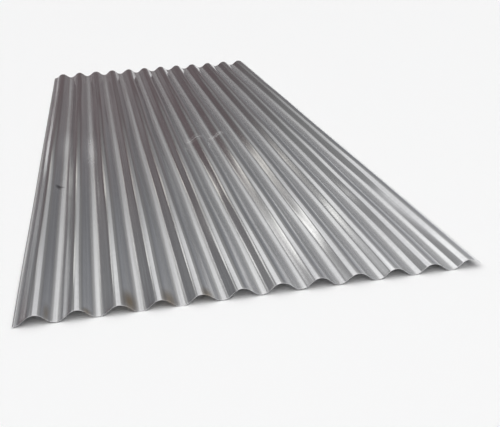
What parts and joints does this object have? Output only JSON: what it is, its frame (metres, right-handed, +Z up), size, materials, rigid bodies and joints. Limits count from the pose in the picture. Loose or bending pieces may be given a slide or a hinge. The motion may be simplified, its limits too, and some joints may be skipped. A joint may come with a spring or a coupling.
{
  "type": "corrugated metal sheet",
  "caption": "Rectangular galvanised steel sheet rolled into round lengthwise corrugations, with a turned-down lap edge and square-sheared ends, for roofing and wall cladding.",
  "frame": {"origin": "middle of the sheet's plan, on the level that its valleys rest on", "axes": "+Y along the corrugations, +X across them towards the turned-down lap edge, +Z up"},
  "size_m": [0.9, 2.438, 0.0179],
  "materials": {
    "galvanised_steel": "bright hot-dip galvanised"
  },
  "bodies": {
    "root": {"corrugated_sheet": "galvanised_steel"}
  },
  "joints": []
}
